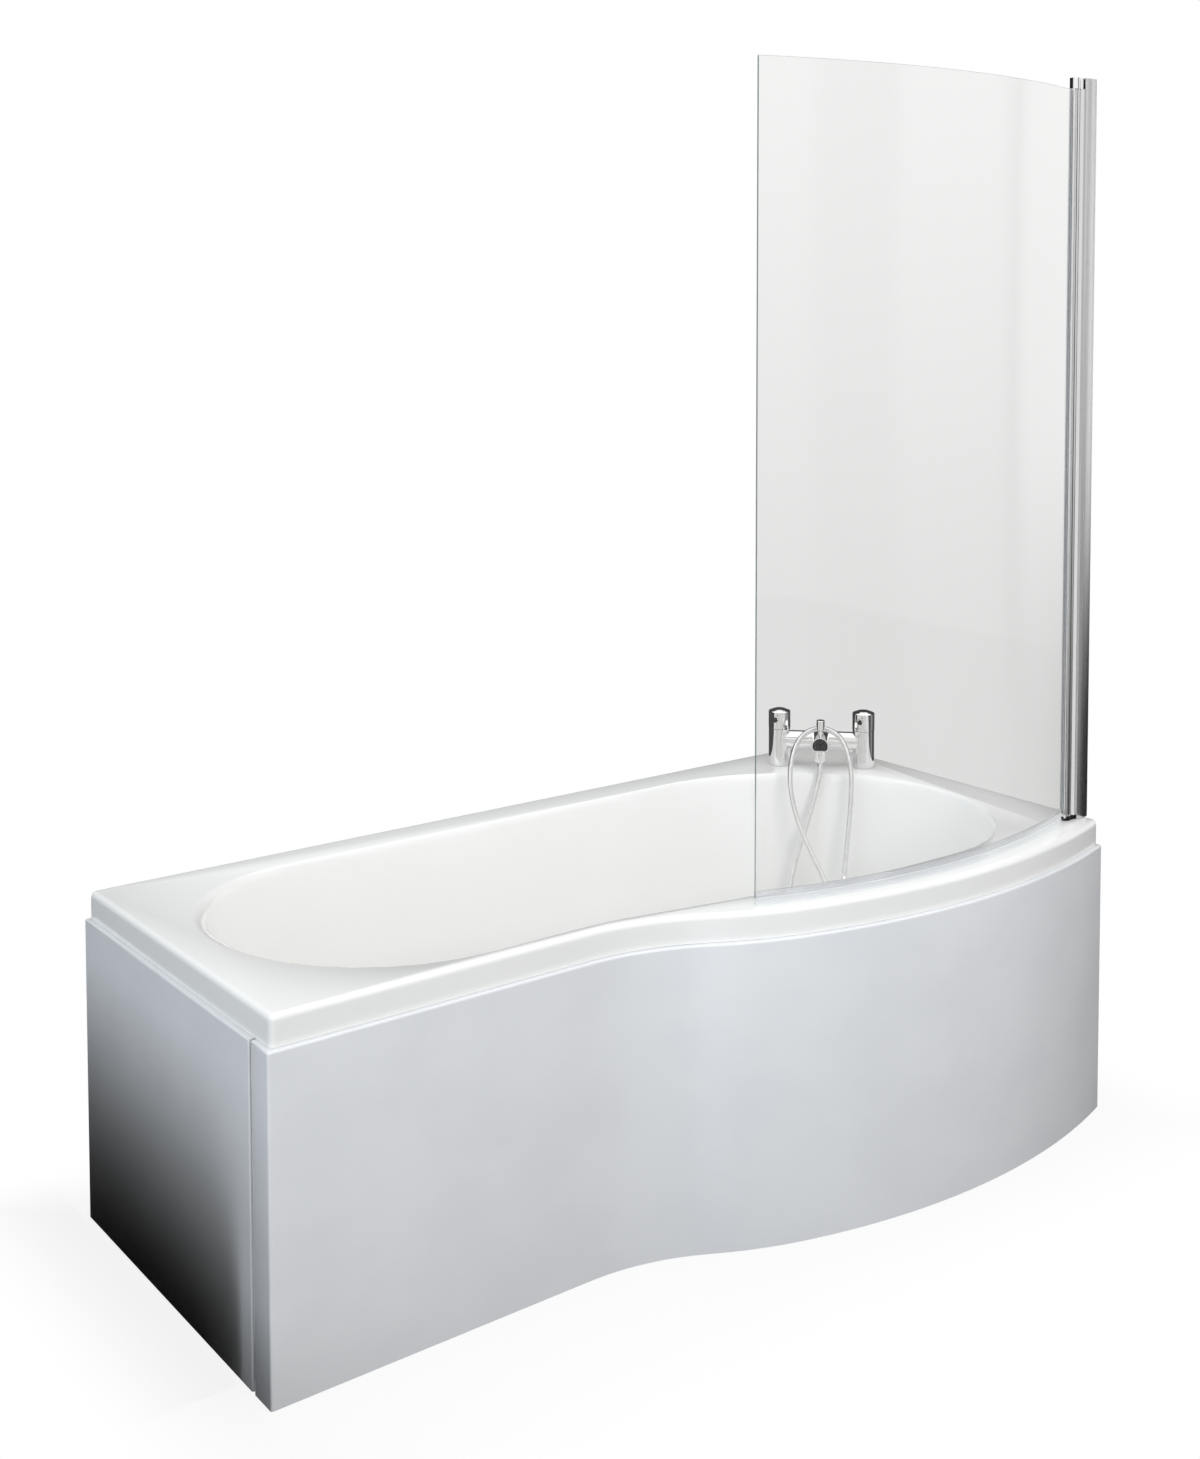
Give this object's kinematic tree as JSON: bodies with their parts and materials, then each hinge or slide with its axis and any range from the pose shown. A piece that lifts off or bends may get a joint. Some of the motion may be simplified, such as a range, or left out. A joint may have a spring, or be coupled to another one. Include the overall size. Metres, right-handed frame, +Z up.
{
  "type": "shower bath",
  "caption": "Curved-front shower bath with panels, cradle, waste and trap, pillar mixer with hand shower and a pivoting curved glass screen.",
  "frame": {"origin": "middle of the bounding box in plan, on the floor", "axes": "+X along the wall towards the tap end, +Y from the room towards the back wall, +Z up"},
  "size_m": [1.709, 0.859, 1.985],
  "materials": {
    "bath_white": "gloss acrylic",
    "panel_white": "gloss acrylic panel",
    "board": "chipboard",
    "timber": "sawn pine",
    "zinc_steel": "zinc plated",
    "black_plastic": "moulded black",
    "chrome": "polished chrome",
    "hose_chrome": "wound chrome strip",
    "rubber": "black rubber",
    "white_plastic": "moulded white",
    "grey_plastic": "moulded grey",
    "brass": "turned brass",
    "satin_aluminium": "satin anodised",
    "steel": "ground pin",
    "clear_plastic": "clear flexible strip",
    "screen_glass": "clear toughened"
  },
  "bodies": {
    "bath": {"bath_rim": "bath_white", "bath_head_wall": "bath_white", "bath_tap_wall": "bath_white", "bath_bow_wall": "bath_white", "bath_floor": "bath_white", "base_board": "board", "rim_battens": "timber", "cradle_rails": "zinc_steel", "rail_screws": "zinc_steel", "centre_leg_plate": "zinc_steel", "leg_rods": "zinc_steel", "leg_nuts": "zinc_steel", "leg_feet": "black_plastic", "front_panel": "panel_white", "end_panel": "panel_white", "floor_battens": "timber", "panel_screws": "zinc_steel", "waste_flange": "chrome", "drain_gaskets": "rubber", "waste_body": "white_plastic", "trap_nut": "white_plastic", "trap_body": "white_plastic", "trap_cap": "black_plastic", "overflow_rose": "chrome", "overflow_screw": "chrome", "overflow_body": "white_plastic", "overflow_pipe": "grey_plastic", "mixer_body": "chrome", "pillar_gaskets": "rubber", "tap_tails": "brass", "tap_washers": "rubber", "tap_backnuts": "brass", "tap_cartridges": "brass", "spout_nozzle": "black_plastic", "hose_outlet": "brass", "hose_nut": "chrome", "shower_hose": "hose_chrome", "cone_nut": "chrome", "shower_handle": "chrome", "shower_face": "grey_plastic", "wall_channel": "satin_aluminium", "inner_profile": "satin_aluminium", "channel_screws": "zinc_steel", "top_bracket": "chrome", "bottom_bracket": "black_plastic", "hinge_pins": "steel"},
    "hot_tap": {"hot_spindle": "brass", "hot_handle": "chrome", "hot_lever": "chrome"},
    "cold_tap": {"cold_spindle": "brass", "cold_handle": "chrome", "cold_lever": "chrome"},
    "diverter": {"diverter_knob": "chrome", "diverter_valve": "black_plastic"},
    "plug": {"waste_plug": "chrome", "plug_seal": "rubber"},
    "screen": {"hinge_profile": "satin_aluminium", "glass_gasket": "clear_plastic", "screen_glass": "screen_glass", "screen_seal": "clear_plastic"}
  },
  "joints": [
    {"name": "screen_hinge", "type": "hinge", "parent": "bath", "child": "screen", "pos_m": [0.8025, -0.3125, 0.565], "axis": [0, 0, 1], "range_deg": [0, 90]},
    {"name": "hot_turn", "type": "hinge", "parent": "bath", "child": "hot_tap", "pos_m": [0.64886, 0.33714, 0.565], "axis": [0, 0, 1], "range_deg": [-90, 0]},
    {"name": "cold_turn", "type": "hinge", "parent": "bath", "child": "cold_tap", "pos_m": [0.77614, 0.20986, 0.565], "axis": [0, 0, 1], "range_deg": [0, 90]},
    {"name": "diverter_pull", "type": "slide", "parent": "bath", "child": "diverter", "axis": [0, 0, 1], "range_m": [0, 0.008]},
    {"name": "plug_lift", "type": "slide", "parent": "bath", "child": "plug", "axis": [0, 0, 1], "range_m": [0, 0.008]}
  ]
}
